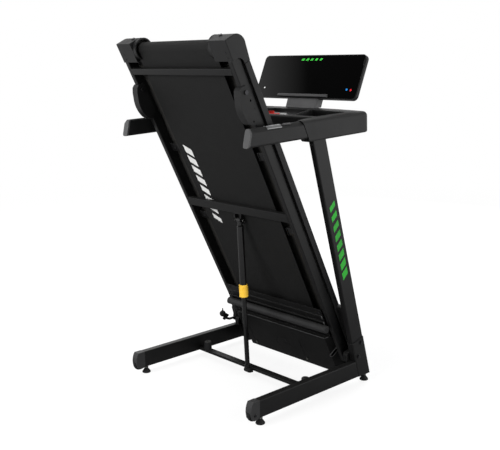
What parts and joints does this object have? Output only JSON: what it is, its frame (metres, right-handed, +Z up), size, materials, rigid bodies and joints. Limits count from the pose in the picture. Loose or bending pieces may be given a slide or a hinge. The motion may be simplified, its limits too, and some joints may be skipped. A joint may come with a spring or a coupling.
{
  "type": "folding treadmill",
  "caption": "Folding treadmill: running deck hinged up behind leaning uprights, console with grips, and a telescopic lock strut.",
  "frame": {"origin": "on the floor, under the middle of the folded machine's overall box", "axes": "+X to the walker's right, +Y forward towards the console and motor end, +Z up"},
  "size_m": [0.75, 0.8094, 1.4125],
  "materials": {
    "frame_paint": "black powder coat, fine texture",
    "moulding": "black moulding with a fine grain",
    "light_moulding": "dark grey moulding",
    "gloss_panel": "gloss black",
    "display_glass": "black glass front, gloss",
    "contact_metal": "bright contact plate",
    "belt": "black running belt, fine diamond grain",
    "board": "black faced fibreboard",
    "roller_steel": "turned steel",
    "bolt_steel": "black zinc",
    "zinc": "zinc plated",
    "rubber": "matte black rubber",
    "strut_paint": "satin black",
    "collar_yellow": "amber yellow plastic",
    "key_red": "red plastic",
    "motor_body": "black enamel"
  },
  "bodies": {
    "base": {"base_rail_left": "frame_paint", "base_rail_right": "frame_paint", "rail_end_caps": "moulding", "wheel_axles": "bolt_steel", "cross_tube": "frame_paint", "buffer_posts": "rubber", "strut_base_bracket": "frame_paint", "upright_sockets": "frame_paint", "upright_left": "frame_paint", "upright_right": "frame_paint", "frame_bolts": "bolt_steel", "pivot_bolts": "bolt_steel", "cord_hook": "moulding", "console_frame": "moulding", "centre_panel": "gloss_panel", "neck": "light_moulding", "display_housing": "moulding", "display_glass": "display_glass", "tablet_ledge": "light_moulding", "grip_left": "moulding", "grip_right": "moulding", "grip_end_caps": "light_moulding", "contact_plates": "contact_metal"},
    "deck": {"side_rail_left": "frame_paint", "side_rail_right": "frame_paint", "deck_cross_tubes": "frame_paint", "deck_board": "board", "board_cushions": "rubber", "running_belt": "belt", "roller_axles": "zinc", "foot_rails": "moulding", "deck_end_caps": "moulding", "motor_hood": "moulding", "belly_pan": "frame_paint", "belly_bar": "light_moulding", "motor": "motor_body", "drive_belt": "rubber", "strut_top_bracket": "frame_paint", "deck_bolts": "bolt_steel", "mains_inlet": "moulding"},
    "strut_rod": {"strut_rod": "strut_paint"},
    "strut_cylinder": {"strut_cylinder": "strut_paint"},
    "lock_collar": {"lock_collar": "collar_yellow"},
    "wheel_left": {"wheel_left": "rubber"},
    "wheel_right": {"wheel_right": "rubber"},
    "foot_rear_left": {"foot_rear_left": "rubber"},
    "foot_rear_right": {"foot_rear_right": "rubber"},
    "foot_front_left": {"foot_front_left": "rubber"},
    "foot_front_right": {"foot_front_right": "rubber"},
    "safety_key": {"safety_key": "key_red"},
    "thumb_key_left": {"thumb_key_left": "light_moulding"},
    "thumb_key_right": {"thumb_key_right": "light_moulding"},
    "rear_roller": {"rear_roller": "roller_steel"},
    "front_roller": {"front_roller": "roller_steel"},
    "motor_pulley": {"motor_pulley": "motor_body"},
    "incline_foot_left": {"incline_foot_left": "moulding"},
    "incline_foot_right": {"incline_foot_right": "moulding"},
    "power_switch": {"power_switch": "moulding"}
  },
  "joints": [
    {"name": "deck_fold", "type": "hinge", "parent": "base", "child": "deck", "pos_m": [0, 0.271, 0.121], "axis": [1, 0, 0], "range_deg": [0, 65.65]},
    {"name": "strut_swing", "type": "hinge", "parent": "base", "child": "strut_rod", "pos_m": [0, -0.012, 0.036], "axis": [1, 0, 0], "range_deg": [0, 82.61]},
    {"name": "strut_telescope", "type": "slide", "parent": "strut_rod", "child": "strut_cylinder", "axis": [0, -0.0605, 0.9982], "range_m": [-0.28609, 0]},
    {"name": "collar_release", "type": "slide", "parent": "strut_cylinder", "child": "lock_collar", "axis": [0, -0.0605, 0.9982], "range_m": [0, 0.012], "stiffness_N_per_m": 800},
    {"name": "wheel_left_spin", "type": "hinge", "parent": "base", "child": "wheel_left", "pos_m": [-0.355, -0.322, 0.046], "axis": [1, 0, 0], "continuous": true},
    {"name": "wheel_right_spin", "type": "hinge", "parent": "base", "child": "wheel_right", "pos_m": [0.355, -0.322, 0.046], "axis": [1, 0, 0], "continuous": true},
    {"name": "foot_rear_left_level", "type": "slide", "parent": "base", "child": "foot_rear_left", "axis": [0, 0, 1], "range_m": [-0.006, 0.004]},
    {"name": "foot_rear_right_level", "type": "slide", "parent": "base", "child": "foot_rear_right", "axis": [0, 0, 1], "range_m": [-0.006, 0.004]},
    {"name": "foot_front_left_level", "type": "slide", "parent": "base", "child": "foot_front_left", "axis": [0, 0, 1], "range_m": [-0.006, 0.004]},
    {"name": "foot_front_right_level", "type": "slide", "parent": "base", "child": "foot_front_right", "axis": [0, 0, 1], "range_m": [-0.006, 0.004]},
    {"name": "safety_key_pull", "type": "slide", "parent": "base", "child": "safety_key", "axis": [0, -0.0506, 0.9987], "range_m": [0, 0.02]},
    {"name": "thumb_key_left_press", "type": "slide", "parent": "base", "child": "thumb_key_left", "axis": [0, 0.0506, -0.9987], "range_m": [0, 0.0012], "stiffness_N_per_m": 600},
    {"name": "thumb_key_right_press", "type": "slide", "parent": "base", "child": "thumb_key_right", "axis": [0, 0.0506, -0.9987], "range_m": [0, 0.0012], "stiffness_N_per_m": 600},
    {"name": "front_roller_spin", "type": "hinge", "parent": "deck", "child": "front_roller", "pos_m": [0, 0.20856, 0.26648], "axis": [1, 0, 0], "continuous": true},
    {"name": "rear_roller_spin", "type": "hinge", "parent": "deck", "child": "rear_roller", "pos_m": [0, -0.35014, 1.37012], "axis": [1, 0, 0], "continuous": true},
    {"name": "motor_spin", "type": "hinge", "parent": "deck", "child": "motor_pulley", "pos_m": [0, 0.28631, 0.1904], "axis": [1, 0, 0], "continuous": true},
    {"name": "incline_foot_left_swing", "type": "hinge", "parent": "deck", "child": "incline_foot_left", "pos_m": [-0.3, -0.31001, 1.21447], "axis": [1, 0, 0], "range_deg": [0, 10]},
    {"name": "incline_foot_right_swing", "type": "hinge", "parent": "deck", "child": "incline_foot_right", "pos_m": [0.3, -0.31001, 1.21447], "axis": [1, 0, 0], "range_deg": [0, 10]},
    {"name": "power_switch_rock", "type": "hinge", "parent": "deck", "child": "power_switch", "pos_m": [-0.215, 0.32012, 0.04611], "axis": [1, 0, 0], "range_deg": [-20, 0]}
  ],
  "couplings": [
    {"joint": "strut_swing", "follows": "deck_fold", "ratio": 1.2576},
    {"joint": "strut_telescope", "follows": "deck_fold", "m_per_rad": -0.24951},
    {"joint": "rear_roller_spin", "follows": "front_roller_spin", "ratio": 1},
    {"joint": "motor_spin", "follows": "front_roller_spin", "ratio": 2}
  ]
}
